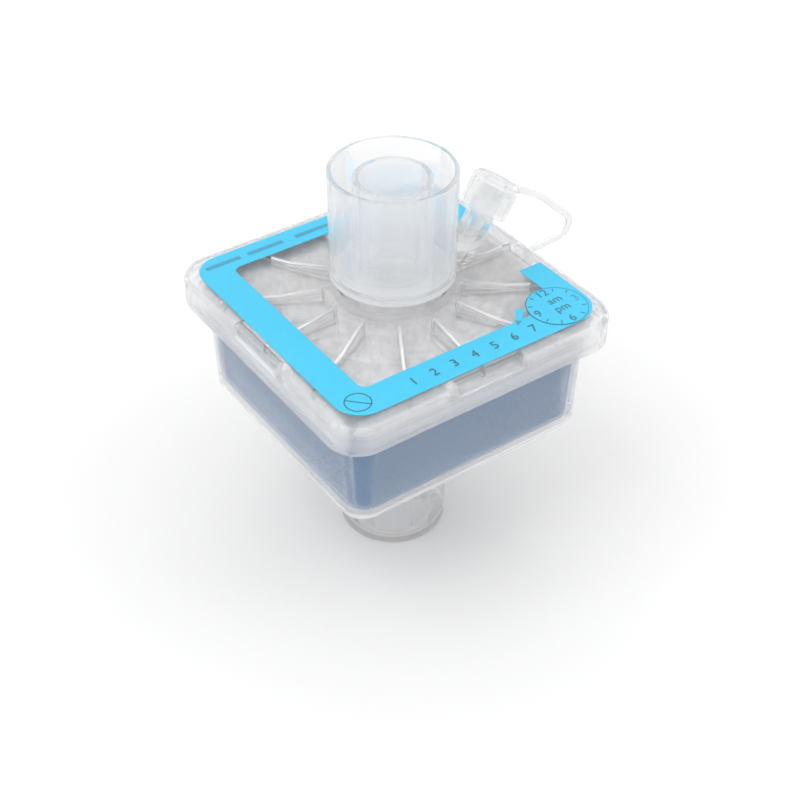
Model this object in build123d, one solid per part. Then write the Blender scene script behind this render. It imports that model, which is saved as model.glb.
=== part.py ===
from build123d import *
from math import cos, radians, sin, tan
import os

# A square breathing circuit filter: a clear two-part moulded housing with a coaxial port on top and a
# plain port below, a flat filter pad, a foam block that keeps heat and moisture, and a sampling port
# with its cap and strap. Millimetres. The origin is the middle of the lower port's end face, and
# +Z points up the port axis. Each side of the square housing faces along X or Y.

# Lid: the upper housing's outer form
LID_WIDTH = 62.2
LID_HEIGHT = 6.65
LID_CORNER = 6.5
LID_EDGE_FILLET = 1.9
LID_WALL = 1.3
PLATE_THICKNESS = 1.3
PLATE_TOP = 58.3

# Notches in the middle of the sides of the lid at -X (2) and -Y (3)
NOTCH_SIDES = (2, 3)
NOTCH_LENGTH = 15.0
NOTCH_DEPTH = 2.7
NOTCH_INSET = 1.9
NOTCH_WALL = 1.1

# Shallow cone that lifts the middle of the plate up to the neck
DOME_RADIUS = 21.8
DOME_TOP_RADIUS = 11.9
DOME_HEIGHT = 1.9

# Ribs under the plate, which hold the filter pad down
RIB_COUNT = 12
RIB_THICKNESS = 0.8
RIB_INNER_RADIUS = 13.0
RIB_DROP = 3.05

# Tub: the lower housing, whose walls lean in towards its floor
TUB_WIDTH = 55.1
TUB_CORNER = 5.0
TUB_DRAFT_DEG = 1.8
TUB_WALL = 1.3
TUB_FLOOR_Z = 30.9
TUB_FLOOR_THICKNESS = 1.6
TUB_EDGE_CHAMFER = 0.8
FLANGE_THICKNESS = 1.25
FLANGE_CLEARANCE = 0.05

# Lower port: a 22 mm male cone outside and a 15 mm female cone inside, at their gauge radii
LOWER_PORT_RADIUS = 11.1
LOWER_PORT_LENGTH = 18.0
LOWER_BORE_RADIUS = 7.75
LOWER_BORE_LENGTH = 15.0
LOWER_END_CHAMFER = 0.6
LOWER_BORE_CHAMFER = 0.5
FUNNEL_RADIUS = 17.0
FUNNEL_WALL = 1.4

# Upper port: a 22 mm female cone around a 15 mm male tube, closed between them by a web
OUTER_TUBE_RADIUS = 12.05
OUTER_TUBE_TOP = 84.5
SOCKET_RADIUS = 11.2
SOCKET_CONE_LENGTH = 15.0
SOCKET_TAPER = 1 / 40
INNER_TUBE_RADIUS = 7.5
INNER_TUBE_BORE = 6.3
INNER_TUBE_SETBACK = 1.7
WEB_THICKNESS = 1.4
WEB_CHAMFER = 0.3
TUBE_RIM_CHAMFER = 0.2
NECK_RADIUS = 10.9
NECK_HEIGHT = 3.95
NECK_WALL = 1.3

# Sampling port: a tilted tube with a female 6 % taper and two lugs at its mouth
SAMPLE_BASE_X = 14.8
SAMPLE_TILT_DEG = 32.5
SAMPLE_LENGTH = 17.2
SAMPLE_RADIUS = 2.9
SAMPLE_BASE_RADIUS = 3.6
SAMPLE_MOUTH_RADIUS = 2.15
SAMPLE_TAPER = 0.06
SAMPLE_TAPER_LENGTH = 7.5
SAMPLE_CHANNEL_RADIUS = 1.2
LUG_RADIUS = 3.9
LUG_HEIGHT = 1.1
LUG_WIDTH = 3.2

# Cap over the sampling port
CAP_RADIUS = 4.85
CAP_HEIGHT = 6.8
CAP_ROOF = 1.3
CAP_WALL = 0.8
CAP_EDGE_CHAMFER = 0.6
CAP_SEAT_GAP = 0.05
PLUG_LENGTH = 2.6
PLUG_CLEARANCE = 0.08

# Strap between the cap's roof and a socket on the lid's +X side
STRAP_WIDTH = 1.9
STRAP_THICKNESS = 0.75
STRAP_RUN = 8.85
STRAP_EASE_RADIUS = 14.0
STRAP_BEND_RADIUS = 2.7
STRAP_CORNER_REACH = 16.5
STRAP_CORNER_DROP = 3.5
STRAP_STUB_RADIUS = 0.9
STRAP_STUB_LENGTH = 2.0
SOCKET_BOSS_RADIUS = 2.0
SOCKET_BOSS_LENGTH = 1.5
SOCKET_DROP = 4.6
SOCKET_HOLE_DEPTH = 2.2
STUB_CLEARANCE = 0.05

# Soft pieces
PAD_CLEARANCE = 0.2
FOAM_CLEARANCE = 0.1

LID_BOTTOM = PLATE_TOP - LID_HEIGHT
PLATE_BOTTOM = PLATE_TOP - PLATE_THICKNESS
LID_INNER = LID_WIDTH - 2 * LID_WALL
NOTCH_WALL_FACE = LID_WIDTH / 2 - NOTCH_INSET - NOTCH_WALL
NOTCH_WALL_BOTTOM = PLATE_TOP - NOTCH_DEPTH - NOTCH_WALL
RIB_BOTTOM = PLATE_TOP - RIB_DROP
RIB_REACH = NOTCH_WALL_FACE + NOTCH_WALL / 2
DOME_TOP = PLATE_TOP + DOME_HEIGHT
FLANGE_TOP = LID_BOTTOM + FLANGE_THICKNESS
FLOOR_TOP = TUB_FLOOR_Z + TUB_FLOOR_THICKNESS
WEB_BOTTOM = PLATE_TOP + NECK_HEIGHT
WEB_TOP = WEB_BOTTOM + WEB_THICKNESS
INNER_TUBE_TOP = OUTER_TUBE_TOP - INNER_TUBE_SETBACK
SOCKET_Z = PLATE_TOP - SOCKET_DROP


def square(width, corner):
    """A rounded square face, flat at the origin."""
    return RectangleRounded(width, width, corner)


def block(width, corner, z0, z1):
    """An upright block with a rounded square section."""
    return extrude(Pos(0, 0, z0) * square(width, corner), z1 - z0)


def drafted(face, z0, z1):
    """A face drawn down from z1 to z0 with the tub's draft, so that its foot is the smaller end."""
    top = Plane(origin=(0, 0, z1), x_dir=(1, 0, 0), z_dir=(0, 0, -1))
    return extrude(top * face, z1 - z0, taper=TUB_DRAFT_DEG)


def edges_at(part, z):
    """The edges that lie flat at height z."""
    return part.edges().filter_by(lambda e: abs(e.bounding_box().min.Z - z) < 1e-4
                                  and abs(e.bounding_box().max.Z - z) < 1e-4)


def turned(points):
    """A solid turned about the port axis from its (radius, height) outline."""
    return revolve(Plane.XZ * make_face(Polyline(*points, close=True)), Axis.Z)


def sample_plane(distance):
    """The plane across the sampling port's axis, at a distance from the lid's plate."""
    tilt = radians(SAMPLE_TILT_DEG)
    origin = (SAMPLE_BASE_X + distance * sin(tilt), 0, PLATE_TOP + distance * cos(tilt))
    return Plane(origin=origin, x_dir=(cos(tilt), 0, -sin(tilt)), z_dir=(sin(tilt), 0, cos(tilt)))


def turned_on_sample_axis(points):
    """A solid turned about the sampling port's axis from its (radius, distance) outline."""
    return sample_plane(0) * turned(points)


def lid_form():
    """The lid's outside: a rounded square block with an eased top edge and notches in two of its sides."""
    form = block(LID_WIDTH, LID_CORNER, LID_BOTTOM, PLATE_TOP)
    form = fillet(edges_at(form, PLATE_TOP), LID_EDGE_FILLET)
    for side in NOTCH_SIDES:
        reach = LID_WIDTH / 2 - NOTCH_INSET
        notch = Pos(reach, 0, PLATE_TOP - NOTCH_DEPTH) * Box(
            NOTCH_INSET * 2, NOTCH_LENGTH, NOTCH_DEPTH * 2, align=(Align.MIN, Align.CENTER, Align.MIN))
        form -= Rot(0, 0, 90 * side) * notch
    return form


def lid_cavity():
    """The room inside the lid, with the walls of the notches left standing."""
    cavity = block(LID_INNER, LID_CORNER - LID_WALL, LID_BOTTOM, PLATE_BOTTOM)
    for side in NOTCH_SIDES:
        wall = Pos(NOTCH_WALL_FACE, 0, NOTCH_WALL_BOTTOM) * Box(
            LID_WIDTH, NOTCH_LENGTH + 2 * NOTCH_WALL, LID_HEIGHT, align=(Align.MIN, Align.CENTER, Align.MIN))
        cavity -= Rot(0, 0, 90 * side) * wall
    return cavity


def dome_and_neck():
    """The cone in the plate and the short neck above it, still solid."""
    dome = turned([(0, PLATE_BOTTOM), (DOME_RADIUS, PLATE_BOTTOM), (DOME_RADIUS, PLATE_TOP),
                   (DOME_TOP_RADIUS, DOME_TOP), (0, DOME_TOP)])
    return dome + Pos(0, 0, PLATE_BOTTOM) * Cylinder(
        NECK_RADIUS, WEB_BOTTOM - PLATE_BOTTOM, align=(Align.CENTER, Align.CENTER, Align.MIN))


def dome_hollow():
    """The room under the cone, which keeps its wall as thick as the plate."""
    return turned([(0, PLATE_BOTTOM), (DOME_RADIUS, PLATE_BOTTOM),
                   (DOME_TOP_RADIUS, DOME_TOP - PLATE_THICKNESS), (0, DOME_TOP - PLATE_THICKNESS)])


def rib(angle):
    """One radial rib: its top runs in the middle of the plate's wall, up the cone towards the neck."""
    top = PLATE_BOTTOM + PLATE_THICKNESS / 2
    slope = DOME_HEIGHT / (DOME_RADIUS - DOME_TOP_RADIUS)
    inner_top = top + slope * (DOME_RADIUS - RIB_INNER_RADIUS)
    side = Plane.XZ * make_face(Polyline(
        (RIB_INNER_RADIUS, RIB_BOTTOM), (LID_WIDTH, RIB_BOTTOM), (LID_WIDTH, top), (DOME_RADIUS, top),
        (RIB_INNER_RADIUS, inner_top), close=True))
    return Rot(0, 0, angle) * extrude(side, RIB_THICKNESS / 2, both=True)


def ribs():
    """All the ribs, cut off square where they meet the notches' walls."""
    bars = rib(0)
    for n in range(1, RIB_COUNT):
        bars += rib(360 / RIB_COUNT * n)
    return bars & block(2 * RIB_REACH, LID_CORNER, RIB_BOTTOM, DOME_TOP)


def coaxial_port():
    """The outer tube, the web that closes it and the inner tube, as one turned form."""
    cone_end = SOCKET_RADIUS - SOCKET_CONE_LENGTH * SOCKET_TAPER / 2
    rim = TUBE_RIM_CHAMFER
    return turned([(INNER_TUBE_BORE, WEB_BOTTOM), (OUTER_TUBE_RADIUS - WEB_CHAMFER, WEB_BOTTOM),
                   (OUTER_TUBE_RADIUS, WEB_BOTTOM + WEB_CHAMFER), (OUTER_TUBE_RADIUS, OUTER_TUBE_TOP - rim),
                   (OUTER_TUBE_RADIUS - rim, OUTER_TUBE_TOP), (SOCKET_RADIUS, OUTER_TUBE_TOP),
                   (cone_end, OUTER_TUBE_TOP - SOCKET_CONE_LENGTH), (cone_end, WEB_TOP),
                   (INNER_TUBE_RADIUS, WEB_TOP), (INNER_TUBE_RADIUS, INNER_TUBE_TOP - rim),
                   (INNER_TUBE_RADIUS - rim, INNER_TUBE_TOP), (INNER_TUBE_BORE, INNER_TUBE_TOP)])


def sampling_port():
    """The tilted sampling tube, solid, from below the plate to its mouth with the two lugs."""
    slim = SAMPLE_LENGTH / 2
    foot = -(SAMPLE_BASE_RADIUS * tan(radians(SAMPLE_TILT_DEG)) + PLATE_THICKNESS)
    tube = turned_on_sample_axis([(0, foot), (SAMPLE_BASE_RADIUS, foot), (SAMPLE_RADIUS, slim),
                                  (SAMPLE_RADIUS, SAMPLE_LENGTH), (0, SAMPLE_LENGTH)])
    lugs = Circle(LUG_RADIUS) & Rectangle(LUG_WIDTH, LUG_RADIUS * 2)
    tube += extrude(sample_plane(SAMPLE_LENGTH - LUG_HEIGHT) * lugs, LUG_HEIGHT)
    above_plate = Pos(0, 0, PLATE_BOTTOM) * Box(
        LID_WIDTH, LID_WIDTH, OUTER_TUBE_TOP, align=(Align.CENTER, Align.CENTER, Align.MIN))
    return tube & above_plate


def sampling_bore():
    """The passage through the sampling tube: a taper at the mouth and a channel into the lid."""
    end = SAMPLE_LENGTH - SAMPLE_TAPER_LENGTH
    narrow = SAMPLE_MOUTH_RADIUS - SAMPLE_TAPER_LENGTH * SAMPLE_TAPER / 2
    foot = -(SAMPLE_BASE_RADIUS * tan(radians(SAMPLE_TILT_DEG)) + 2 * PLATE_THICKNESS)
    return turned_on_sample_axis([(0, foot), (SAMPLE_CHANNEL_RADIUS, foot), (SAMPLE_CHANNEL_RADIUS, end),
                                  (narrow, end), (SAMPLE_MOUTH_RADIUS, SAMPLE_LENGTH), (0, SAMPLE_LENGTH)])


def strap_socket():
    """The boss on the lid's +X side that holds the strap's stub."""
    face = Plane(origin=(LID_WIDTH / 2 - LID_WALL / 2, 0, SOCKET_Z), x_dir=(0, 1, 0), z_dir=(1, 0, 0))
    return extrude(face * Circle(SOCKET_BOSS_RADIUS), LID_WALL / 2 + SOCKET_BOSS_LENGTH)


def strap_socket_hole():
    """The blind hole in that boss."""
    mouth = Plane(origin=(LID_WIDTH / 2 + SOCKET_BOSS_LENGTH, 0, SOCKET_Z), x_dir=(0, 1, 0), z_dir=(-1, 0, 0))
    return extrude(mouth * Circle(STRAP_STUB_RADIUS + STUB_CLEARANCE), SOCKET_HOLE_DEPTH)


def make_upper_housing():
    """Lid, cone, ribs, coaxial port, sampling port and strap socket, moulded in one piece."""
    body = lid_form() + dome_and_neck() + sampling_port() + coaxial_port() + strap_socket()
    body -= lid_cavity() + dome_hollow()
    body += ribs()
    body -= Pos(0, 0, PLATE_BOTTOM) * Cylinder(
        NECK_RADIUS - NECK_WALL, WEB_BOTTOM - PLATE_BOTTOM, align=(Align.CENTER, Align.CENTER, Align.MIN))
    body -= Pos(0, 0, WEB_BOTTOM) * Cylinder(
        INNER_TUBE_BORE, WEB_THICKNESS, align=(Align.CENTER, Align.CENTER, Align.MIN))
    return body - sampling_bore() - strap_socket_hole()


def make_lower_housing():
    """Tub with its flange, funnel and lower port, moulded in one piece."""
    tub = drafted(square(TUB_WIDTH, TUB_CORNER), TUB_FLOOR_Z, LID_BOTTOM)
    tub = chamfer(edges_at(tub, TUB_FLOOR_Z), TUB_EDGE_CHAMFER)
    flange_width = LID_INNER - 2 * FLANGE_CLEARANCE
    tub += block(flange_width, LID_CORNER - LID_WALL, LID_BOTTOM, FLANGE_TOP)
    tub -= drafted(square(TUB_WIDTH - 2 * TUB_WALL, TUB_CORNER - TUB_WALL), FLOOR_TOP, FLANGE_TOP)
    funnel = turned([(0, 0), (LOWER_PORT_RADIUS - LOWER_END_CHAMFER, 0),
                     (LOWER_PORT_RADIUS, LOWER_END_CHAMFER), (LOWER_PORT_RADIUS, LOWER_PORT_LENGTH),
                     (FUNNEL_RADIUS, TUB_FLOOR_Z), (FUNNEL_RADIUS, FLOOR_TOP), (0, FLOOR_TOP)])
    passage = turned([(0, 0), (LOWER_BORE_RADIUS + LOWER_BORE_CHAMFER, 0),
                      (LOWER_BORE_RADIUS, LOWER_BORE_CHAMFER), (LOWER_BORE_RADIUS, LOWER_BORE_LENGTH),
                      (FUNNEL_RADIUS - FUNNEL_WALL, TUB_FLOOR_Z), (FUNNEL_RADIUS - FUNNEL_WALL, FLOOR_TOP),
                      (0, FLOOR_TOP)])
    return tub + funnel - passage


def make_filter_media():
    """The flat filter pad, clamped between the lid's ribs and the tub's flange."""
    width = 2 * (NOTCH_WALL_FACE - PAD_CLEARANCE)
    return block(width, TUB_CORNER, FLANGE_TOP, RIB_BOTTOM)


def make_hme_foam():
    """The foam block that fills the tub below the pad, with its corners cut off."""
    width = TUB_WIDTH - 2 * TUB_WALL - 2 * FOAM_CLEARANCE
    face = chamfer(Rectangle(width, width).vertices(), TUB_CORNER - TUB_WALL)
    return drafted(face, FLOOR_TOP, FLANGE_TOP)


def cap_top():
    """The distance of the cap's roof top from the plate, along the sampling port's axis."""
    return SAMPLE_LENGTH + CAP_SEAT_GAP + CAP_ROOF


def make_port_cap():
    """The cap: a roof, a skirt over the lugs and a plug for the taper."""
    top = cap_top()
    foot = top - CAP_HEIGHT
    roof = top - CAP_ROOF
    inside = CAP_RADIUS - CAP_WALL
    wide = SAMPLE_MOUTH_RADIUS - PLUG_CLEARANCE
    narrow = wide - PLUG_LENGTH * SAMPLE_TAPER / 2
    return turned_on_sample_axis([(0, roof - PLUG_LENGTH), (narrow, roof - PLUG_LENGTH), (wide, roof),
                                  (inside, roof), (inside, foot), (CAP_RADIUS, foot),
                                  (CAP_RADIUS, top - CAP_EDGE_CHAMFER), (CAP_RADIUS - CAP_EDGE_CHAMFER, top),
                                  (0, top)])


def strap_line():
    """The strap's centre line, in the upright plane through the sampling port's axis."""
    tilt = radians(SAMPLE_TILT_DEG)
    centre = cap_top() - CAP_ROOF / 2
    start = (SAMPLE_BASE_X + centre * sin(tilt), PLATE_TOP + centre * cos(tilt))
    run = CAP_RADIUS + STRAP_RUN
    ease = (start[0] + run * cos(tilt), start[1] - run * sin(tilt))
    corner = (LID_WIDTH / 2 + STRAP_CORNER_REACH, PLATE_TOP - STRAP_CORNER_DROP)
    end = (LID_WIDTH / 2 + SOCKET_BOSS_LENGTH, SOCKET_Z)
    return FilletPolyline(start, ease, corner, end, radius=[STRAP_EASE_RADIUS, STRAP_BEND_RADIUS])


def make_cap_strap():
    """The flat strap from the cap's roof, with a round stub that plugs into the lid's socket."""
    ribbon = Plane.XZ * trace(strap_line(), STRAP_THICKNESS)
    strap = extrude(ribbon, STRAP_WIDTH / 2, both=True)
    strap -= extrude(sample_plane(cap_top() - CAP_HEIGHT) * Circle(CAP_RADIUS), CAP_HEIGHT)
    seat = Plane(origin=(LID_WIDTH / 2 + SOCKET_BOSS_LENGTH, 0, SOCKET_Z), x_dir=(0, 1, 0), z_dir=(-1, 0, 0))
    strap -= extrude(seat * Circle(SOCKET_BOSS_RADIUS), STRAP_THICKNESS)
    return strap + extrude(seat * Circle(STRAP_STUB_RADIUS), STRAP_STUB_LENGTH)


def main():
    os.makedirs("parts", exist_ok=True)
    parts = {"upper_housing": make_upper_housing(), "lower_housing": make_lower_housing(),
             "filter_media": make_filter_media(), "hme_foam": make_hme_foam(),
             "port_cap": make_port_cap(), "cap_strap": make_cap_strap()}
    for name, part in parts.items():
        export_step(part, f"parts/{name}.step")


main()
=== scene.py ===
# %% [markdown]
# # A clear breathing circuit filter
# This notebook dresses a small ward disposable: a clear square housing with a blue print on its
# lid, a grey fibre pad and a blue foam block inside it, and a capped sampling port on top. The
# solids come from the construction model, so every piece made here sits around them in metres.

# %% Load the construction model
import math

import bmesh
import bpy
from mathutils import Matrix, Vector, noise


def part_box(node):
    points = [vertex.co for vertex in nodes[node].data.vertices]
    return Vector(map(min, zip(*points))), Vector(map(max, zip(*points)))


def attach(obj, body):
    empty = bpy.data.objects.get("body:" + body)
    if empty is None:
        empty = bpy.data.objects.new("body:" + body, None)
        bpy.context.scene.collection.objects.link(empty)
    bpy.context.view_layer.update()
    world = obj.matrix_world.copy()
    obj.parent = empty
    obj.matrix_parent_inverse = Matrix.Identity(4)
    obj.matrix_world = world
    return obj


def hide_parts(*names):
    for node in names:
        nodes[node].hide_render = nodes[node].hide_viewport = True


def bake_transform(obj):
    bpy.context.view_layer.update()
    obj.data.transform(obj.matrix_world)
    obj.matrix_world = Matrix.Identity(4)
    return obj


MM = 0.001

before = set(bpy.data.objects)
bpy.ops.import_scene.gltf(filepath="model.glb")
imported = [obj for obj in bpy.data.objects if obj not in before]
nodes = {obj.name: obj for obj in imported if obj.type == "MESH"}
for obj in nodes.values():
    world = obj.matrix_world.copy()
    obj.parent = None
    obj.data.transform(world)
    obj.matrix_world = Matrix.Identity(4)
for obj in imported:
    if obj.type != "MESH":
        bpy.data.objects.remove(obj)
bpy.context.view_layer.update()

# %% [markdown]
# ## The camera
# A photograph is a measurement. The two coaxial tubes, the square lid and the digits on it fix
# where the camera stood: a little to the left of the front corner and some forty degrees up, with
# a long lens. The lid's centre and the lens axis are named by their places in the picture.

# %% Camera at the photograph's angle
IMAGE_PX = 800
FOCAL_PX = 1426.96
LENS_AXIS_PX = (391.45, 400.0)
LID_CENTRE_PX = (392.90, 287.91)
LID_CENTRE_DEPTH = 272.96 * MM
VIEW_AZIMUTH = math.radians(-34.913)
VIEW_ELEVATION = math.radians(39.883)
SENSOR_MM = 36.0

PLATE_TOP = 58.3 * MM

away = Vector((math.sin(VIEW_AZIMUTH) * math.cos(VIEW_ELEVATION),
               -math.cos(VIEW_AZIMUTH) * math.cos(VIEW_ELEVATION), math.sin(VIEW_ELEVATION)))
right = Vector((math.cos(VIEW_AZIMUTH), math.sin(VIEW_AZIMUTH), 0))
up = away.cross(right)
step_right = (LID_CENTRE_PX[0] - LENS_AXIS_PX[0]) / FOCAL_PX * LID_CENTRE_DEPTH
step_up = (LENS_AXIS_PX[1] - LID_CENTRE_PX[1]) / FOCAL_PX * LID_CENTRE_DEPTH
eye = Vector((0, 0, PLATE_TOP)) + away * LID_CENTRE_DEPTH - right * step_right - up * step_up

lens = bpy.data.cameras.new("photo_camera")
lens.sensor_width = SENSOR_MM
lens.lens = FOCAL_PX / IMAGE_PX * SENSOR_MM
lens.shift_x = 0.5 - LENS_AXIS_PX[0] / IMAGE_PX
lens.clip_start = 0.01
camera = bpy.data.objects.new("photo_camera", lens)
bpy.context.collection.objects.link(camera)
camera.matrix_world = Matrix.Translation(eye) @ Matrix((right, up, away)).transposed().to_4x4()
bpy.context.scene.camera = camera
print("camera at", [round(v / MM, 1) for v in eye], "mm, lens", round(lens.lens, 2))

# %% [markdown]
# ## Helpers
# A few small helpers keep the cells short. One turns a printed colour into the linear light that a
# renderer works in. One adds a shader or geometry node with its settings and links, and six more
# use it for what comes up all the time: sums, ranges, textures, mixed colours and bumps. The last
# two start a material and place a finished mesh.

# %% Colours and nodes
def linear(hex_colour):
    """The linear RGBA of an sRGB hex colour."""
    channels = [int(hex_colour[i:i + 2], 16) / 255 for i in (1, 3, 5)]
    return [c / 12.92 if c <= 0.04045 else ((c + 0.055) / 1.055) ** 2.4 for c in channels] + [1.0]


def add(tree, kind, inputs=None, **settings):
    """Add a node with its settings; each input is set to a value or linked to a socket."""
    made = tree.nodes.new(kind)
    for name, value in settings.items():
        setattr(made, name, value)
    for key, value in (inputs or {}).items():
        if isinstance(value, bpy.types.NodeSocket):
            tree.links.new(value, made.inputs[key])
        else:
            made.inputs[key].default_value = value
    return made


def calc(tree, operation, first, second=0.0):
    """The result socket of a math node."""
    return add(tree, "ShaderNodeMath", {0: first, 1: second}, operation=operation).outputs[0]


def span(tree, value, source=(0.0, 1.0), target=(0.0, 1.0)):
    """The socket of a value carried from a source range, whose ends stop it, to a target one."""
    return add(tree, "ShaderNodeMapRange", {
        "Value": value, "From Min": source[0], "From Max": source[1],
        "To Min": target[0], "To Max": target[1]}).outputs["Result"]


def texture_place(tree):
    """The object coordinates that every texture follows."""
    return add(tree, "ShaderNodeTexCoord").outputs["Object"]


def noise_texture(tree, place, size_mm, **settings):
    """The factor of a noise texture whose features are about size_mm wide."""
    inputs = {"Vector": place, "Scale": 1 / (size_mm * MM), **settings}
    return add(tree, "ShaderNodeTexNoise", inputs).outputs["Fac"]


def colour_mix(tree, share, first, second, **settings):
    """The colour between two colours, by a share from 0 to 1."""
    return add(tree, "ShaderNodeMix", {"Factor": share, "A": first, "B": second},
               data_type="RGBA", **settings).outputs["Result"]


def bump(tree, height, strength, distance_mm):
    """The normal socket of a bump."""
    return add(tree, "ShaderNodeBump", {
        "Height": height, "Strength": strength, "Distance": distance_mm * MM}).outputs["Normal"]


def new_material(name):
    """An empty node material, with its tree and its output node."""
    material = bpy.data.materials.new(name)
    material.use_nodes = True
    material.node_tree.nodes.clear()
    return material, material.node_tree, add(material.node_tree, "ShaderNodeOutputMaterial")


def new_piece(name, mesh, material, body):
    """An object at the origin that rides on a body and carries a material."""
    piece = bpy.data.objects.new(name, mesh)
    bpy.context.collection.objects.link(piece)
    mesh.materials.clear()
    mesh.materials.append(material)
    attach(piece, body)
    return piece


# %% [markdown]
# ## The studio
# The object stands on a white sheet under large soft lights, so nearly everything around it is
# white and only a soft grey shadow shows where it stands. The sheet shows itself a little brighter
# to the camera, and to rays that passed through clear plastic, than it lights the object, and more
# so far away, where the soft lights no longer reach it.

# %% White sheet
SHEET_SIZE = 6.0
SHEET_GREY = "#CDCDCD"
SHEET_GLOW = 0.08
FAR_GLOW = 0.4
NEAR_REACH = 0.2
FAR_REACH = 1.2


def looked_at(tree):
    """1 for rays from the camera, from a gloss or through clear plastic, 0 for rays that light."""
    path = add(tree, "ShaderNodeLightPath")
    seen = calc(tree, "MAXIMUM", path.outputs["Is Camera Ray"], path.outputs["Is Glossy Ray"])
    return calc(tree, "MAXIMUM", seen, path.outputs["Is Transmission Ray"])


white_sheet, tree, out = new_material("seamless white paper")
paper = add(tree, "ShaderNodeBsdfDiffuse", {"Color": linear(SHEET_GREY)})
far = add(tree, "ShaderNodeVectorMath", {0: texture_place(tree)}, operation="LENGTH")
glow = span(tree, far.outputs["Value"], (NEAR_REACH, FAR_REACH), (SHEET_GLOW, FAR_GLOW))
glow = calc(tree, "MULTIPLY", looked_at(tree), glow)
shine = add(tree, "ShaderNodeEmission", {"Color": linear("#FFFFFF"), "Strength": glow})
both = add(tree, "ShaderNodeAddShader", {0: paper.outputs[0], 1: shine.outputs[0]})
tree.links.new(both.outputs[0], out.inputs["Surface"])

sheet = bpy.data.meshes.new("white_sheet")
half = SHEET_SIZE / 2
corners = [(-half, -half, 0), (half, -half, 0), (half, half, 0), (-half, half, 0)]
sheet.from_pydata(corners, [], [(0, 1, 2, 3)])
sheet.materials.append(white_sheet)
floor = bpy.data.objects.new("white_sheet", sheet)
bpy.context.collection.objects.link(floor)

# %% Soft lights
SKY_HORIZON = 0.32
SKY_ZENITH = 1.86
SOFTBOX_SIZE = 0.6
SOFTBOXES = [("key_from_left", (-0.6, 0.0, 0.9), 3.2), ("fill_from_right", (0.6, -0.6, 0.8), 1.5)]

for name, place, power in SOFTBOXES:
    light = bpy.data.lights.new(name, "AREA")
    light.size = SOFTBOX_SIZE
    light.energy = power
    lamp = bpy.data.objects.new(name, light)
    lamp.location = place
    toward = Vector((0, 0, PLATE_TOP / 2)) - Vector(place)
    lamp.rotation_euler = toward.to_track_quat("-Z", "Y").to_euler()
    bpy.context.collection.objects.link(lamp)

world = bpy.data.worlds.new("white studio")
bpy.context.scene.world = world
world.use_nodes = True
tree = world.node_tree
tree.nodes.clear()
heading = add(tree, "ShaderNodeTexCoord")
heading = add(tree, "ShaderNodeSeparateXYZ", {"Vector": heading.outputs["Generated"]})
light = span(tree, heading.outputs["Z"], target=(SKY_HORIZON, SKY_ZENITH))
strength = span(tree, looked_at(tree), target=(light, 1.0))
sky = add(tree, "ShaderNodeBackground", {"Color": linear("#FFFFFF"), "Strength": strength})
add(tree, "ShaderNodeOutputWorld", {"Surface": sky.outputs[0]})
bpy.context.scene.view_settings.view_transform = "Standard"

# %% [markdown]
# ## Clear mouldings
# The two housings are polystyrene, moulded clear and then welded. Such walls are a millimetre
# thick. Most light goes straight through, which is each material's alpha, and the rest bends a
# little or meets a faint milky haze. The haze is denser in narrow bands, in the web under the
# tubes, the tub's floor, the lower port's mouth and the lid's rim: partly the haze of thick
# plastic, partly painted highlights, white where these edges catch light. So the milkiness follows
# the height and the reach. Slow noise in the roughness is the flow of the melt, which clear
# mouldings always show.

# %% Clear polystyrene and clear polyethylene
PLASTIC_IOR = 1.25
RAMP_TOP = 100.0
RIM_MILK_AND_HIGHLIGHT = 0.32
RIM_REACH = (28.6 * MM, 29.6 * MM)
CLEAR_TO_MILKY_ROUGHNESS = (0.03, 0.15)
CLEAR_TO_MILKY_PASSING = (0.96, 0.25)
FLOW_RANGE = (0.6, 1.4)
# The dense milky bands in these tables are partly thick-plastic haze and partly painted highlights.
LID_MILK_AND_HIGHLIGHTS = [(0, 0), (60.4, 0), (62.0, 0.25), (62.3, 0.9), (63.5, 0.9), (64.2, 0.3), (82.5, 0.25),
            (84.2, 0.1)]
TUB_MILK_AND_HIGHLIGHTS = [(0, 0.9), (0.9, 0.12), (28.0, 0.12), (30.9, 0.7), (32.4, 0.7), (33.2, 0.02),
            (50.0, 0.0), (52.0, 0.2)]
CAP_MILK = [(0, 0.12), (RAMP_TOP, 0.12)]
STRAP_MILK = [(0, 0.5), (RAMP_TOP, 0.5)]


def by_height(tree, place, heights):
    """A socket that follows (height in millimetres, share) pairs up the object."""
    axes = add(tree, "ShaderNodeSeparateXYZ", {"Vector": place})
    level = span(tree, axes.outputs["Z"], (0.0, RAMP_TOP * MM))
    curve = add(tree, "ShaderNodeValToRGB", {"Fac": level})
    stops = curve.color_ramp.elements
    for height, share in heights[1:-1]:
        stops.new(height / RAMP_TOP)
    for stop, (height, share) in zip(stops, heights):
        stop.position = height / RAMP_TOP
        stop.color = (share, share, share, 1)
    return curve.outputs["Color"]


def lid_rim(tree, place, inner_share):
    """A socket that rises to the rim's share at the lid's rim, where the milkiness is partly a
    painted highlight, and follows inner_share inside it.
    """
    axes = add(tree, "ShaderNodeSeparateXYZ", {"Vector": place})
    wide = calc(tree, "ABSOLUTE", axes.outputs["X"])
    deep = calc(tree, "ABSOLUTE", axes.outputs["Y"])
    rim = span(tree, calc(tree, "MAXIMUM", wide, deep), RIM_REACH, (0.0, RIM_MILK_AND_HIGHLIGHT))
    return calc(tree, "MAXIMUM", inner_share, rim)


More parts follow.
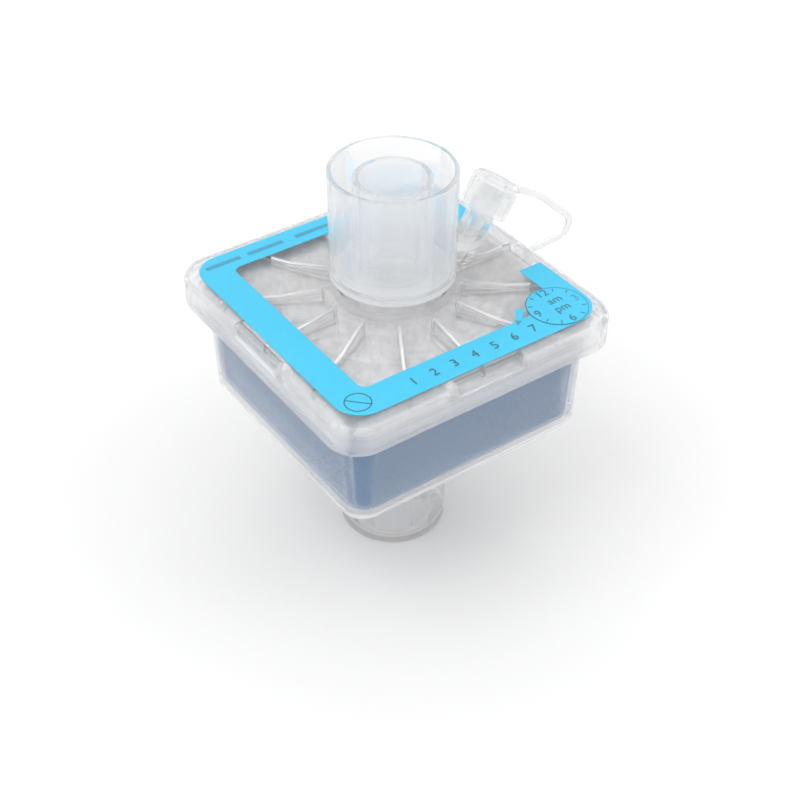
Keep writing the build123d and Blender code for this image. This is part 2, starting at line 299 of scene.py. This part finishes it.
def clear_plastic(name, tint, flow_mm, alpha, heights, rim=False):
    """Moulded clear plastic whose milkiness, from 0 to 1, follows the height and the lid's rim; its
    dense bands are partly painted highlights.
    """
    material, tree, out = new_material(name)
    place = texture_place(tree)
    flow = noise_texture(tree, place, flow_mm, Detail=3.0)
    share = by_height(tree, place, heights)
    if rim:
        share = lid_rim(tree, place, share)
    rough = calc(tree, "MULTIPLY", span(tree, share, target=CLEAR_TO_MILKY_ROUGHNESS),
                 span(tree, flow, target=FLOW_RANGE))
    shader = add(tree, "ShaderNodeBsdfPrincipled",
                 {"Base Color": linear(tint), "IOR": PLASTIC_IOR, "Alpha": alpha,
                  "Transmission Weight": span(tree, share, target=CLEAR_TO_MILKY_PASSING),
                  "Roughness": rough, "Normal": bump(tree, flow, 0.06, 0.1)})
    tree.links.new(shader.outputs[0], out.inputs["Surface"])
    return material


lid_clear = clear_plastic("clear polystyrene, lid", "#FDFDFE", 14.0, 0.7, LID_MILK_AND_HIGHLIGHTS, rim=True)
tub_clear = clear_plastic("clear polystyrene, tub", "#FDFDFE", 14.0, 0.62, TUB_MILK_AND_HIGHLIGHTS)
cap_clear = clear_plastic("clear polyethylene, cap", "#FAFBFB", 8.0, 0.75, CAP_MILK)
strap_clear = clear_plastic("clear polyethylene, strap", "#FAFBFB", 8.0, 0.95, STRAP_MILK)


def dress(node_name, material):
    """Give a construction solid its finish."""
    nodes[node_name].data.materials.clear()
    nodes[node_name].data.materials.append(material)
    print(node_name, "is", material.name)


dress("upper_housing", lid_clear)
dress("lower_housing", tub_clear)
dress("port_cap", cap_clear)

# %% [markdown]
# ## Foam block
# The block under the pad is open polyurethane foam, cut with a wire, so its faces are flat but
# bear fine open cells and its edges are a little soft. A dense box with eased corners is moved in
# and out by noise, and the material paints shade into the mouths of the larger cells.

# %% Foam material
CELL_MM = 0.9
CELL_MOUTH_SHADE = (0.04, 0.22)
BLOTCH_MM = 7.0


def foam_material():
    """Polyurethane foam: matt, blue, with shade painted into the cell mouths."""
    material, tree, out = new_material("open polyurethane foam, wire cut")
    place = texture_place(tree)
    cells = add(tree, "ShaderNodeTexVoronoi",
                {"Vector": place, "Scale": 1 / (CELL_MM * MM), "Randomness": 1.0})
    depth = cells.outputs["Distance"]
    blotch = noise_texture(tree, place, BLOTCH_MM, Detail=4.0)
    ground = colour_mix(tree, blotch, linear("#607EA2"), linear("#6F8CAC"))
    # The darker blue in the cell mouths is painted shade.
    colour = colour_mix(tree, span(tree, depth, CELL_MOUTH_SHADE), linear("#587292"), ground)
    shader = add(tree, "ShaderNodeBsdfPrincipled",
                 {"Base Color": colour, "Roughness": 0.95, "Specular IOR Level": 0.1,
                  "Normal": bump(tree, depth, 0.5, 0.25)})
    tree.links.new(shader.outputs[0], out.inputs["Surface"])
    return material


# %% Foam mesh
TINY = 1e-9
FOAM_STEP = 0.7 * MM
FOAM_EDGE = 0.8 * MM
FOAM_ROUGHNESS = 0.05 * MM
FOAM_GRAIN = 1.6 * MM
FOAM_CORNER = 3.6 * MM
FOAM_DRAFT = math.radians(1.8)


def soft_block(name, low, high, corner, edge, step):
    """A rounded block as one closed grid, with its upright corners and its edges eased."""
    mesh = bmesh.new()
    size = high - low
    counts = [max(2, round(s / step)) for s in size]
    middle = (low + high) / 2
    index = {}

    def vertex(i, j, k):
        if (i, j, k) not in index:
            at = Vector(((i / counts[0] - 0.5) * size.x, (j / counts[1] - 0.5) * size.y,
                         (k / counts[2] - 0.5) * size.z))
            index[i, j, k] = mesh.verts.new(at)
        return index[i, j, k]

    def quad(*places):
        mesh.faces.new([vertex(*place) for place in places])

    nx, ny, nz = counts
    for i in range(nx):
        for j in range(ny):
            quad((i, j, 0), (i, j + 1, 0), (i + 1, j + 1, 0), (i + 1, j, 0))
            quad((i, j, nz), (i + 1, j, nz), (i + 1, j + 1, nz), (i, j + 1, nz))
    for k in range(nz):
        for i in range(nx):
            quad((i, 0, k), (i + 1, 0, k), (i + 1, 0, k + 1), (i, 0, k + 1))
            quad((i, ny, k), (i, ny, k + 1), (i + 1, ny, k + 1), (i + 1, ny, k))
        for j in range(ny):
            quad((0, j, k), (0, j, k + 1), (0, j + 1, k + 1), (0, j + 1, k))
            quad((nx, j, k), (nx, j + 1, k), (nx, j + 1, k + 1), (nx, j, k + 1))
    for v in mesh.verts:
        flat = Vector((v.co.x, v.co.y))
        core = Vector((max(-size.x / 2 + corner, min(size.x / 2 - corner, flat.x)),
                       max(-size.y / 2 + corner, min(size.y / 2 - corner, flat.y))))
        out = flat - core
        reach = max(abs(out.x), abs(out.y))
        if out.length > TINY:
            out = out.normalized() * reach
        flat = core + out
        lift = abs(v.co.z) - (size.z / 2 - edge)
        rim = reach - (corner - edge)
        if lift > 0 and rim > 0:
            turn = Vector((rim, lift))
            turn = turn.normalized() * max(rim, lift)
            flat = core + out.normalized() * (corner - edge + turn.x)
            v.co.z = math.copysign(size.z / 2 - edge + turn.y, v.co.z)
        v.co.x, v.co.y = flat
        v.co += middle
    data = bpy.data.meshes.new(name)
    bmesh.ops.recalc_face_normals(mesh, faces=mesh.faces)
    mesh.to_mesh(data)
    mesh.free()
    for polygon in data.polygons:
        polygon.use_smooth = True
    return data


foam_low, foam_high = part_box("hme_foam")
foam_mesh = soft_block("foam_block", foam_low, foam_high, FOAM_CORNER, FOAM_EDGE, FOAM_STEP)
for v in foam_mesh.vertices:
    narrower = 1 - (foam_high.z - v.co.z) * math.tan(FOAM_DRAFT) / foam_high.x
    v.co.x *= narrower
    v.co.y *= narrower
    grain = noise.noise(v.co / FOAM_GRAIN) + 0.5 * noise.noise(v.co / (FOAM_GRAIN / 2))
    v.co -= v.normal * FOAM_ROUGHNESS * (1 + grain)
foam = new_piece("foam_block", foam_mesh, foam_material(), "housing")
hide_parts("hme_foam")
print("foam block", len(foam_mesh.polygons), "faces")

# %% [markdown]
# ## Fibre pad
# The filter itself is a felt of electrostatic fibres. The ribs under the lid press lines into it
# and it swells a little between them. The pad is a fine grid whose top sinks at each rib, and loose
# fibres lie all over it, which is what makes felt look like felt from close by.

# %% Pad material
CLOUD_MM = 2.5
FLECK_SHARE = 0.45
FELT_CONTRAST = (0.4, 0.6)


def felt_material(name, pale, dark, fleck_mm):
    """Pressed polypropylene fibre: matt, cloudy, with fine flecks where fibres cross."""
    material, tree, out = new_material(name)
    place = texture_place(tree)
    cloud = noise_texture(tree, place, CLOUD_MM, Detail=6.0, Roughness=0.65)
    fleck = noise_texture(tree, place, fleck_mm, Detail=4.0, Distortion=1.5)
    mixed = add(tree, "ShaderNodeMix", {"Factor": FLECK_SHARE, "A": cloud, "B": fleck})
    share = span(tree, mixed.outputs["Result"], FELT_CONTRAST)
    shader = add(tree, "ShaderNodeBsdfPrincipled",
                 {"Base Color": colour_mix(tree, share, linear(dark), linear(pale)),
                  "Roughness": 0.9, "Specular IOR Level": 0.2,
                  "Normal": bump(tree, fleck, 0.5, 0.15)})
    tree.links.new(shader.outputs[0], out.inputs["Surface"])
    return material


felt = felt_material("pressed polypropylene felt", "#E6E6E6", "#C4C4C4", 0.8)
fibre_white = felt_material("loose polypropylene fibre", "#F0F0F0", "#DADADA", 0.3)

# %% Pad mesh
PAD_STEP = 0.5 * MM
PAD_CORNER = 5.0 * MM
PAD_EDGE = 0.4 * MM
PAD_RIM = 4 * MM
PAD_SWELL = 0.25 * MM
PAD_WAVE = 4 * MM
RIB_COUNT = 12
RIB_HALF_WIDTH = 1.6 * MM
RIB_INNER = 13.0 * MM

pad_low, pad_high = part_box("filter_media")


def rib_gap(x, y):
    """How free a point of the pad is of the ribs and the rim, from 0, pressed, to 1, free."""
    radius = math.hypot(x, y)
    turn = 2 * math.pi / RIB_COUNT
    off = (math.atan2(y, x) + turn / 2) % turn - turn / 2
    rib = min(1, abs(math.sin(off)) * radius / RIB_HALF_WIDTH) if radius > RIB_INNER else 1
    rim = min(1, (pad_high.x - max(abs(x), abs(y))) / PAD_RIM)
    return (rib * rib * (3 - 2 * rib)) * max(0, rim)


pad_mesh = soft_block("fibre_pad", pad_low, pad_high, PAD_CORNER, PAD_EDGE, PAD_STEP)
for v in pad_mesh.vertices:
    if v.co.z > (pad_low.z + pad_high.z) / 2:
        wave = 0.5 + 0.5 * noise.noise(v.co / PAD_WAVE)
        v.co.z += PAD_SWELL * rib_gap(v.co.x, v.co.y) * (0.4 + 0.6 * wave)
pad = new_piece("fibre_pad", pad_mesh, felt, "housing")
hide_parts("filter_media")
print("fibre pad", len(pad_mesh.polygons), "faces")

# %% [markdown]
# ## Loose fibres by Geometry Nodes
# One short bent fibre is repeated over the pad's top. The tree scatters points with a fixed seed,
# turns and scales each fibre at random, and makes them real, so that they bake into one plain mesh.

# %% Trees and their results
def group_tree(name, inputs):
    """An empty geometry tree with named inputs, given as (name, socket type, default)."""
    tree = bpy.data.node_groups.new(name, "GeometryNodeTree")
    for label, kind, value in inputs:
        socket = tree.interface.new_socket(label, in_out="INPUT", socket_type=kind)
        if value is not None:
            socket.default_value = value
    tree.interface.new_socket("Geometry", in_out="OUTPUT", socket_type="NodeSocketGeometry")
    return tree, add(tree, "NodeGroupInput"), add(tree, "NodeGroupOutput")


def close_tree(tree, result, geometry, material):
    """End a tree with real geometry that carries a material."""
    real = add(tree, "GeometryNodeRealizeInstances", {"Geometry": geometry})
    coated = add(tree, "GeometryNodeSetMaterial",
                 {"Geometry": real.outputs[0], "Material": material})
    tree.links.new(coated.outputs[0], result.inputs["Geometry"])
    return tree


def baked(host):
    """The finished mesh of an object, which is then taken away."""
    bpy.context.view_layer.update()
    ready = host.evaluated_get(bpy.context.evaluated_depsgraph_get())
    mesh = bpy.data.meshes.new_from_object(ready)
    bpy.data.objects.remove(host)
    return mesh


def grow(name, host_mesh, tree, values, body):
    """Run a geometry tree on a mesh and keep its result as a plain piece."""
    host = bpy.data.objects.new(name + "_host", host_mesh)
    bpy.context.collection.objects.link(host)
    modifier = host.modifiers.new(name, "NODES")
    modifier.node_group = tree
    for item in tree.interface.items_tree:
        if item.in_out == "INPUT" and item.name in values:
            modifier[item.identifier] = values[item.name]
    result = baked(host)
    result.name = name
    piece = bpy.data.objects.new(name, result)
    bpy.context.collection.objects.link(piece)
    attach(piece, body)
    print(name, len(result.polygons), "faces")
    return piece


# %% Fibre scatter
UPWARD = 0.7
FIBRE_BEND = math.radians(70)
FIBRE_SHIFT = (-0.8, 0, 0)
FIBRE_TILT = 0.05
FIBRE_SCALES = (0.4, 1.2)
PATCH_REACH = 25.0 * MM
PATCH_CELLS = 60
PATCH_SWELL = 0.7
PATCH_SINK = 0.12 * MM / 3


def fibre_tree(material):
    """Fibres scattered over the upper faces of the mesh it is put on."""
    tree, given, result = group_tree("felt_fibres", [
        ("Geometry", "NodeSocketGeometry", None), ("Fibre Length", "NodeSocketFloat", 3.0 * MM),
        ("Fibre Radius", "NodeSocketFloat", 0.03 * MM), ("Density", "NodeSocketFloat", 1e6),
        ("Seed", "NodeSocketInt", 1)])
    normal = add(tree, "GeometryNodeInputNormal")
    tilt = add(tree, "ShaderNodeSeparateXYZ", {"Vector": normal.outputs[0]})
    upward = add(tree, "FunctionNodeCompare", {0: tilt.outputs["Z"], 1: UPWARD},
                 operation="GREATER_THAN")
    points = add(tree, "GeometryNodeDistributePointsOnFaces",
                 {"Mesh": given.outputs["Geometry"], "Selection": upward.outputs[0],
                  "Density": given.outputs["Density"], "Seed": given.outputs["Seed"]})
    line = add(tree, "GeometryNodeCurveArc", {"Resolution": 5, "Sweep Angle": FIBRE_BEND})
    bent = add(tree, "GeometryNodeTransform",
               {"Geometry": line.outputs["Curve"], "Translation": FIBRE_SHIFT})
    section = add(tree, "GeometryNodeCurvePrimitiveCircle",
                  {"Resolution": 3, "Radius": given.outputs["Fibre Radius"]})
    size = add(tree, "ShaderNodeCombineXYZ",
               {axis: given.outputs["Fibre Length"] for axis in "XYZ"})
    placed = add(tree, "GeometryNodeTransform",
                 {"Geometry": bent.outputs[0], "Scale": size.outputs[0]})
    strand = add(tree, "GeometryNodeCurveToMesh",
                 {"Curve": placed.outputs[0], "Profile Curve": section.outputs["Curve"],
                  "Fill Caps": True})
    turn = add(tree, "FunctionNodeRandomValue",
               {0: (-FIBRE_TILT, -FIBRE_TILT, 0), 1: (FIBRE_TILT, FIBRE_TILT, 2 * math.pi),
                "Seed": given.outputs["Seed"]}, data_type="FLOAT_VECTOR")
    scale = add(tree, "FunctionNodeRandomValue",
                {2: FIBRE_SCALES[0], 3: FIBRE_SCALES[1], "Seed": given.outputs["Seed"]})
    spread = add(tree, "GeometryNodeInstanceOnPoints",
                 {"Points": points.outputs["Points"], "Instance": strand.outputs[0],
                  "Rotation": turn.outputs[0], "Scale": scale.outputs[1]})
    return close_tree(tree, result, spread.outputs[0], material)


fibre_patch = bpy.data.meshes.new("fibre_patch")
patch = bmesh.new()
bmesh.ops.create_grid(patch, x_segments=PATCH_CELLS, y_segments=PATCH_CELLS, size=PATCH_REACH)
for v in patch.verts:
    swell = PAD_SWELL * rib_gap(v.co.x, v.co.y) * PATCH_SWELL
    v.co.z = pad_high.z + swell - PATCH_SINK
patch.to_mesh(fibre_patch)
patch.free()
grow("pad_fibres", fibre_patch, fibre_tree(fibre_white),
     {"Fibre Length": 2.2 * MM, "Fibre Radius": 0.035 * MM, "Density": 1.1e6, "Seed": 7},
     "housing")

# %% [markdown]
# ## Bright lines in the ribs
# A clear rib shows itself by its edges: light that runs inside the plastic comes out along its
# lower edge and along its root. A thin white rod inside the rib is a painted highlight for each,
# bent at the rib's inner end, and one tree turns the same line round the neck twelve times.

# %% Rib lines by Geometry Nodes
RIB_LINE_RADIUS = 0.33 * MM
RIB_LINE_UNEVEN_MM = 3.0
RIB_LINE = [(26.5, 57.3), (21.8, 57.3), (13.45, 58.8), (13.4, 55.7), (26.5, 55.62)]


def rib_highlight_material():
    """A painted highlight: nearly white, a little uneven along its length."""
    material, tree, out = new_material("painted highlight along the rib edges")
    uneven = noise_texture(tree, texture_place(tree), RIB_LINE_UNEVEN_MM, Detail=2.0)
    # Near-white colour for the rods: a painted highlight along each rib's edges.
    colour = colour_mix(tree, uneven, linear("#F4F5F5"), linear("#FFFFFF"))
    shader = add(tree, "ShaderNodeBsdfPrincipled", {"Base Color": colour, "Roughness": 0.4})
    tree.links.new(shader.outputs[0], out.inputs["Surface"])
    return material


def rib_line_tree(material):
    """The line it is put on, made round and solid and repeated about the upright axis."""
    tree, given, result = group_tree("rib_lines", [
        ("Geometry", "NodeSocketGeometry", None), ("Count", "NodeSocketInt", RIB_COUNT),
        ("Radius", "NodeSocketFloat", RIB_LINE_RADIUS)])
    section = add(tree, "GeometryNodeCurvePrimitiveCircle",
                  {"Resolution": 6, "Radius": given.outputs["Radius"]})
    rod = add(tree, "GeometryNodeCurveToMesh",
              {"Curve": given.outputs["Geometry"], "Profile Curve": section.outputs["Curve"],
               "Fill Caps": True})
    axis = add(tree, "GeometryNodePoints", {"Count": given.outputs["Count"]})
    index = add(tree, "GeometryNodeInputIndex")
    share = calc(tree, "DIVIDE", index.outputs[0], given.outputs["Count"])
    turn = add(tree, "ShaderNodeCombineXYZ", {"Z": calc(tree, "MULTIPLY", share, 2 * math.pi)})
    around = add(tree, "GeometryNodeInstanceOnPoints",
                 {"Points": axis.outputs[0], "Instance": rod.outputs[0],
                  "Rotation": turn.outputs[0]})
    return close_tree(tree, result, around.outputs[0], material)


def route_curve(name, points):
    """A straight run curve in the plane of X and Z, from points in millimetres."""
    curve = bpy.data.curves.new(name, "CURVE")
    curve.dimensions = "3D"
    run = curve.splines.new("POLY")
    run.points.add(len(points) - 1)
    for point, (x, z) in zip(run.points, points):
        point.co = (x * MM, 0, z * MM, 1)
    return curve


grow("rib_lines", route_curve("rib_line", RIB_LINE), rib_line_tree(rib_highlight_material()), {}, "housing")

# %% [markdown]
# ## Print on the lid
# The blue band, the seven digits and the small day dial are pad printed ink: a film some hundredths
# of a millimetre thick that lies on the plate. Each field of ink is its own thin piece, cut from an
# outline of straight runs and arcs. The film is drawn thick enough to have a real edge. A small
# pencil points at the digits, and plain bars stand for lines of small text.

# %% Ink materials
INK_THICKNESS = 0.04 * MM
INK_LIFT = 0.01 * MM
INK_ROUGHNESS = 0.5
MOTTLE_MM = 1.2
MOTTLE_RANGE = (0.94, 1.04)


def ink_material(name, colour):
    """Pad printing ink: an even satin film with the faint mottling of a soft print pad."""
    material, tree, out = new_material(name)
    mottle = noise_texture(tree, texture_place(tree), MOTTLE_MM, Detail=3.0)
    shade = colour_mix(tree, 1.0, linear(colour), span(tree, mottle, target=MOTTLE_RANGE),
                       blend_type="MULTIPLY")
    shader = add(tree, "ShaderNodeBsdfPrincipled",
                 {"Base Color": shade, "Roughness": INK_ROUGHNESS,
                  "Normal": bump(tree, mottle, 0.1, 0.02)})
    tree.links.new(shader.outputs[0], out.inputs["Surface"])
    return material


blue_ink = ink_material("cyan pad printing ink", "#37ADD0")
dark_ink = ink_material("dark pad printing ink", "#35626F")
# Pale ink for the thin dial rim, the pencil tip and the bars; on the dial's 3 it is a painted
# glint.
faint_ink_and_glint = ink_material("pale pad printing ink and painted glint", "#3A87A3")

# %% Flat shapes from outlines
ARC_STEPS = 10


def arc(centre, radius, start_deg, end_deg, steps=ARC_STEPS):
    """Points along an arc, angles in degrees, turning from start to end."""
    turns = [math.radians(start_deg + (end_deg - start_deg) * i / steps) for i in range(steps + 1)]
    return [(centre[0] + radius * math.cos(a), centre[1] + radius * math.sin(a)) for a in turns]


def film(name, outlines, material, level=0):
    """A thin closed piece on the plate for each outline, given in millimetres."""
    base = PLATE_TOP + INK_LIFT + level * INK_THICKNESS
    mesh = bmesh.new()
    for outline in outlines:
        face = mesh.faces.new([mesh.verts.new((x * MM, y * MM, base)) for x, y in outline])
        if face.normal.z > 0:
            face.normal_flip()
        raised = bmesh.ops.extrude_face_region(mesh, geom=[face])
        tops = [g for g in raised["geom"] if isinstance(g, bmesh.types.BMVert)]
        bmesh.ops.translate(mesh, verts=tops, vec=(0, 0, INK_THICKNESS))
    bmesh.ops.recalc_face_normals(mesh, faces=mesh.faces)
    bmesh.ops.triangulate(mesh, faces=mesh.faces)
    data = bpy.data.meshes.new(name)
    mesh.to_mesh(data)
    mesh.free()
    return new_piece(name, data, material, "housing")


# %% Blue band
BAND_REACH = 28.6
BAND_CORNER = 5.7
WINDOW_X = (-21.9, 23.3)
WINDOW_Y = (-21.9, 23.0)
WINDOW_CORNER = 1.6
STRAP_GAP = 9.4

edge_in = BAND_REACH - BAND_CORNER
band = [(BAND_REACH, STRAP_GAP)]
for x, y, turn in ((1, 1, 0), (-1, 1, 90), (-1, -1, 180), (1, -1, 270)):
    band += arc((x * edge_in, y * edge_in), BAND_CORNER, turn, turn + 90)
band += [(BAND_REACH, -STRAP_GAP), (WINDOW_X[1], -STRAP_GAP)]
band += arc((WINDOW_X[1] - WINDOW_CORNER, WINDOW_Y[0] + WINDOW_CORNER), WINDOW_CORNER, 0, -90)
band += arc((WINDOW_X[0] + WINDOW_CORNER, WINDOW_Y[0] + WINDOW_CORNER), WINDOW_CORNER, 270, 180)
band += arc((WINDOW_X[0] + WINDOW_CORNER, WINDOW_Y[1] - WINDOW_CORNER), WINDOW_CORNER, 180, 90)
band += arc((WINDOW_X[1] - WINDOW_CORNER, WINDOW_Y[1] - WINDOW_CORNER), WINDOW_CORNER, 90, 0)
band += [(WINDOW_X[1], STRAP_GAP)]
film("blue_band", [band], blue_ink)

# %% Dial disc and its rim
DIAL_CENTRE = (21.95, -22.5)
DIAL_RADIUS = 5.9
DIAL_LINE = 0.18
DISC_SIDES = 96
DARK_TURN = (125, 265)
THIN_TURN = (-95, 125)


def ring_part(centre, radius, width, start, end, steps=72):
    """The outline of a piece of a ring between two angles in degrees."""
    outer = arc(centre, radius + width / 2, start, end, steps)
    return outer + arc(centre, radius - width / 2, end, start, steps)


def ring(centre, radius, width):
    """A ring as two outlines, each one half of it, so that neither has a hole."""
    return [ring_part(centre, radius, width, start, start + 180) for start in (0, 180)]


disc = arc(DIAL_CENTRE, DIAL_RADIUS, 0, 360 - 360 / DISC_SIDES, DISC_SIDES - 1)
dark_rim = ring_part(DIAL_CENTRE, DIAL_RADIUS, DIAL_LINE, *DARK_TURN)
thin_rim = ring_part(DIAL_CENTRE, DIAL_RADIUS, DIAL_LINE, *THIN_TURN)
film("dial_disc", [disc], blue_ink, 1)
film("dial_rim", [dark_rim], dark_ink, 2)
film("dial_rim_thin", [thin_rim], faint_ink_and_glint, 2)

# %% Dial ticks by Geometry Nodes
def dial_tree(material):
    """Short bars around a circle, with every third place left free for a numeral."""
    tree, given, result = group_tree("dial_ticks", [
        ("Geometry", "NodeSocketGeometry", None), ("Places", "NodeSocketInt", 12),
        ("Radius", "NodeSocketFloat", 5 * MM),
        ("Tick", "NodeSocketVector", (1 * MM, 0.2 * MM, 0.04 * MM)),
        ("Centre", "NodeSocketVector", (0, 0, 0))])
    circle = add(tree, "GeometryNodeMeshCircle",
                 {"Vertices": given.outputs["Places"], "Radius": given.outputs["Radius"]})
    index = add(tree, "GeometryNodeInputIndex")
    third = calc(tree, "MODULO", index.outputs[0], 3.0)
    free = add(tree, "FunctionNodeCompare", {0: third, 1: 0.5}, operation="GREATER_THAN")
    spot = add(tree, "GeometryNodeInputPosition")
    turn = add(tree, "FunctionNodeAlignRotationToVector", {"Vector": spot.outputs[0]}, axis="X")
    bar = add(tree, "GeometryNodeMeshCube", {"Size": given.outputs["Tick"]})
    around = add(tree, "GeometryNodeInstanceOnPoints",
                 {"Points": circle.outputs["Mesh"], "Selection": free.outputs[0],
                  "Instance": bar.outputs["Mesh"], "Rotation": turn.outputs[0]})
    moved = add(tree, "GeometryNodeTransform",
                {"Geometry": around.outputs[0], "Translation": given.outputs["Centre"]})
    return close_tree(tree, result, moved.outputs[0], material)


TICK_RADIUS = 5.1
TICK_LENGTH = 0.9
tick_level = PLATE_TOP + INK_LIFT + 2.5 * INK_THICKNESS
grow("dial_ticks", bpy.data.meshes.new("dial_ticks_host"), dial_tree(dark_ink),
     {"Radius": TICK_RADIUS * MM, "Tick": (TICK_LENGTH * MM, DIAL_LINE * MM, INK_THICKNESS),
      "Centre": (DIAL_CENTRE[0] * MM, DIAL_CENTRE[1] * MM, tick_level)}, "housing")

# %% Digits and letters
CAPITAL_SHARE = 0.7


def lettering(name, words, material, level=2):
    """Words as (text, x, y, height) in millimetres, upright as seen from -Y, in one thin piece."""
    base = PLATE_TOP + INK_LIFT + level * INK_THICKNESS
    joined = bmesh.new()
    for text, x, y, height in words:
        curve = bpy.data.curves.new(name, "FONT")
        curve.body = text
        curve.align_x = "CENTER"
        curve.align_y = "CENTER"
        curve.size = height * MM / CAPITAL_SHARE
        curve.resolution_u = 4
        curve.extrude = INK_THICKNESS / 2
        holder = bpy.data.objects.new(name, curve)
        bpy.context.collection.objects.link(holder)
        glyphs = baked(holder)
        glyphs.transform(Matrix.Translation((x * MM, y * MM, base + INK_THICKNESS / 2)))
        joined.from_mesh(glyphs)
    bmesh.ops.remove_doubles(joined, verts=joined.verts, dist=1e-7)
    data = bpy.data.meshes.new(name)
    joined.to_mesh(data)
    joined.free()
    return new_piece(name, data, material, "housing")


DIGIT_Y = -25.4
DIGIT_HEIGHT = 2.05
DIGIT_FIRST_X = -13.25
DIGIT_PITCH = 4.525
digits = [(str(n + 1), DIGIT_FIRST_X + DIGIT_PITCH * n, DIGIT_Y, DIGIT_HEIGHT) for n in range(7)]
lettering("digits", digits, dark_ink)

DIAL_TEXT = 1.9
NUMERAL_RADIUS = 4.5
dial_words = [("am", 22.7, -20.8, DIAL_TEXT), ("pm", 22.4, -23.5, DIAL_TEXT)]
for hours, quarter in (("12", 90), ("3", 0), ("6", 270), ("9", 180)):
    x = DIAL_CENTRE[0] + NUMERAL_RADIUS * math.cos(math.radians(quarter))
    y = DIAL_CENTRE[1] + NUMERAL_RADIUS * math.sin(math.radians(quarter))
    dial_words.append((hours, x, y, DIAL_TEXT))
lettering("dial_words", [word for word in dial_words if word[0] != "3"], dark_ink)
# The 3 is paler: a painted glint where light washes out the print.
lettering("dial_three_painted_glint", [word for word in dial_words if word[0] == "3"], faint_ink_and_glint)

# %% Ring mark
MARK_CENTRE = (-24.5, -24.5)
MARK_RADIUS = 2.4
MARK_LINE = 0.22
film("ring_mark", ring(MARK_CENTRE, MARK_RADIUS, MARK_LINE), dark_ink, 1)

along = MARK_RADIUS * math.sqrt(0.5)
aside = MARK_LINE / 2 * math.sqrt(0.5)
bar = [(-along - aside, along - aside), (along - aside, -along - aside),
       (along + aside, -along + aside), (-along + aside, along + aside)]
film("ring_bar", [[(MARK_CENTRE[0] + x, MARK_CENTRE[1] + y) for x, y in bar]],
     dark_ink, 1)

# %% Pencil and plain bars
PENCIL_BODY = [(14.92, -18.8), (12.6, -21.6), (13.5, -22.4), (16.2, -19.89)]
PENCIL_TIP = [(12.6, -21.6), (11.97, -23.21), (13.5, -22.4)]
film("pencil_body", [PENCIL_BODY], blue_ink, 1)
film("pencil_tip", [PENCIL_TIP], faint_ink_and_glint, 1)
BARS = [(-26.4, -18.7), (-17.0, -8.9), (-6.0, 1.8)]
BAR_Y = (25.2, 26.2)
film("plain_bars", [[(a, BAR_Y[0]), (b, BAR_Y[0]), (b, BAR_Y[1]), (a, BAR_Y[1])] for a, b in BARS],
     faint_ink_and_glint, 1)

# %% [markdown]
# ## Strap
# The strap is moulded flat with the cap and bends over to a small socket on the lid's side. It is a
# ribbon that follows one smooth curve.

# %% Strap ribbon
STRAP_WIDTH = 1.4 * MM
STRAP_THICKNESS = 0.7 * MM
STRAP_ROUND = 0.15 * MM
STRAP_CORNERS = [(28.45, 70.83), (35.97, 66.04), (47.6, 54.8), (30.9, 53.7)]
STRAP_BENDS = [14.0, 2.7]
STRAP_STEPS = 90


def rounded(corners, radii, steps=14):
    """The corners of a line with each inner one replaced by an arc of its own radius."""
    points = [corners[0]]
    for before, here, after, radius in zip(corners, corners[1:], corners[2:], radii):
        here = Vector(here)
        back = (Vector(before) - here).normalized()
        on = (Vector(after) - here).normalized()
        half = back.angle(on) / 2
        centre = here + (back + on).normalized() * radius / math.sin(half)
        first = here + back * radius / math.tan(half) - centre
        last = here + on * radius / math.tan(half) - centre
        for i in range(steps + 1):
            arm = (first * (steps - i) + last * i).normalized() * radius
            points.append(tuple(centre + arm))
    return points + [corners[-1]]


def strap_tree(material):
    """A rounded ribbon swept along the curve it is put on."""
    tree, given, result = group_tree("strap_ribbon", [
        ("Geometry", "NodeSocketGeometry", None), ("Width", "NodeSocketFloat", STRAP_WIDTH),
        ("Thickness", "NodeSocketFloat", STRAP_THICKNESS),
        ("Round", "NodeSocketFloat", STRAP_ROUND)])
    section = add(tree, "GeometryNodeCurvePrimitiveQuadrilateral",
                  {"Width": given.outputs["Thickness"], "Height": given.outputs["Width"]})
    eased = add(tree, "GeometryNodeFilletCurve",
                {"Curve": section.outputs[0], "Radius": given.outputs["Round"], "Count": 3},
                mode="POLY")
    line = add(tree, "GeometryNodeResampleCurve",
               {"Curve": given.outputs["Geometry"], "Count": STRAP_STEPS})
    ribbon = add(tree, "GeometryNodeCurveToMesh",
                 {"Curve": line.outputs[0], "Profile Curve": eased.outputs[0], "Fill Caps": True})
    smooth = add(tree, "GeometryNodeSetShadeSmooth", {"Geometry": ribbon.outputs[0]})
    return close_tree(tree, result, smooth.outputs[0], material)


strap = grow("strap", route_curve("strap_route", rounded(STRAP_CORNERS, STRAP_BENDS)),
             strap_tree(strap_clear), {}, "housing")
strap.parent = None
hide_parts("cap_strap")
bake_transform(strap)
